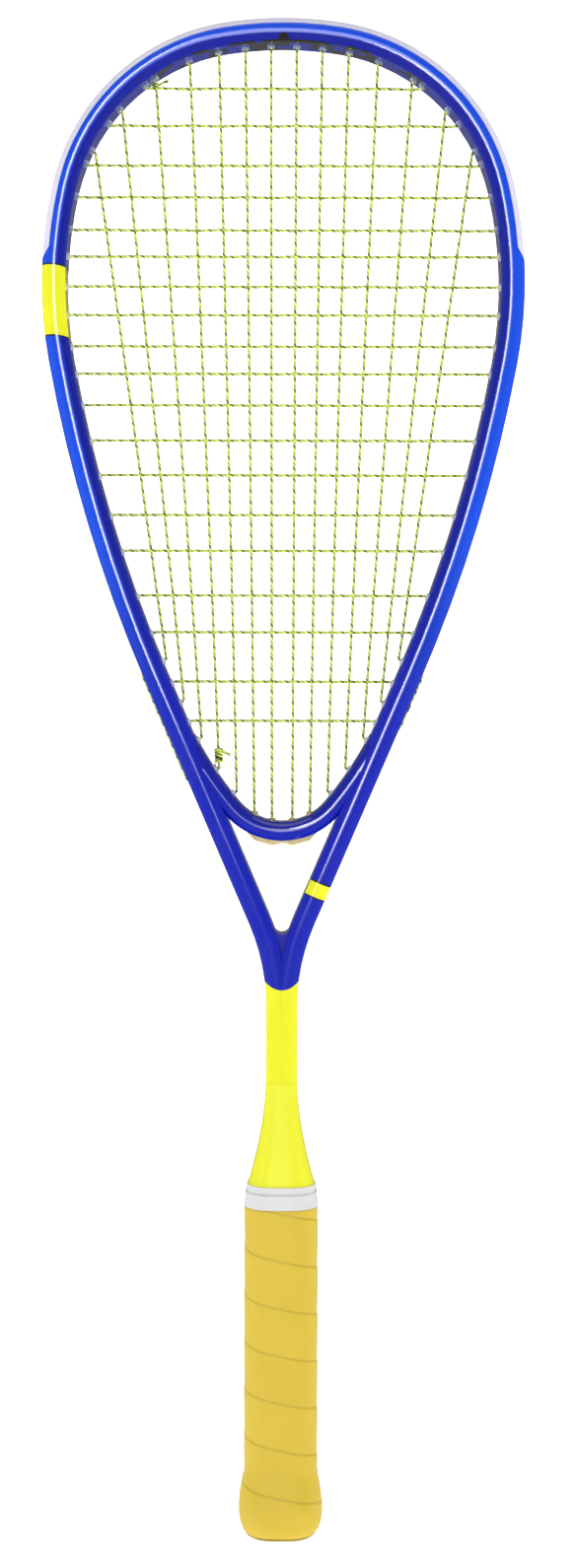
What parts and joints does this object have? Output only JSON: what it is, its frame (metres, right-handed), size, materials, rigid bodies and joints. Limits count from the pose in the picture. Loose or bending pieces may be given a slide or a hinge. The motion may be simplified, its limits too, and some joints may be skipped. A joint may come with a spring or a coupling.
{
  "type": "squash racket",
  "caption": "Squash racket: teardrop carbon head with a woven string bed, open throat, slim shaft and a wrapped grip with a flared butt.",
  "frame": {"origin": "centre of the butt's flat end", "axes": "+Z along the racket from the butt to the crown, +X across the face, +Y through the strings away from the front; the strings lie in Y = 0"},
  "size_m": [0.215, 0.0326, 0.685],
  "materials": {
    "frame_paint": "gloss blue lacquer over carbon fibre, with a yellow shaft",
    "bridge_paint": "gloss blue lacquer over carbon fibre",
    "clear_guard": "clear moulded nylon",
    "grommet_plastic": "milky moulded nylon",
    "amber_plastic": "amber moulded nylon",
    "string": "pale yellow-green braided nylon with one dark tracer",
    "neck_paint": "gloss yellow lacquer",
    "cap_plastic": "moulded, fine grain",
    "staple_steel": "drawn wire",
    "grip": "soft tacky synthetic leather, wound in a helix",
    "tape": "thin adhesive tape",
    "collar_rubber": "soft white rubber"
  },
  "bodies": {
    "root": {"frame_tube": "frame_paint", "throat_bridge": "bridge_paint", "bumper_guard": "clear_guard", "left_grommet_strip": "grommet_plastic", "right_grommet_strip": "grommet_plastic", "throat_grommet_strip": "amber_plastic", "main_strings": "string", "cross_strings": "string", "handle_foam": "neck_paint", "butt_cap": "cap_plastic", "butt_cap_staples": "staple_steel", "grip_wrap": "grip", "finishing_tape": "tape", "grip_collar": "collar_rubber"}
  },
  "joints": []
}
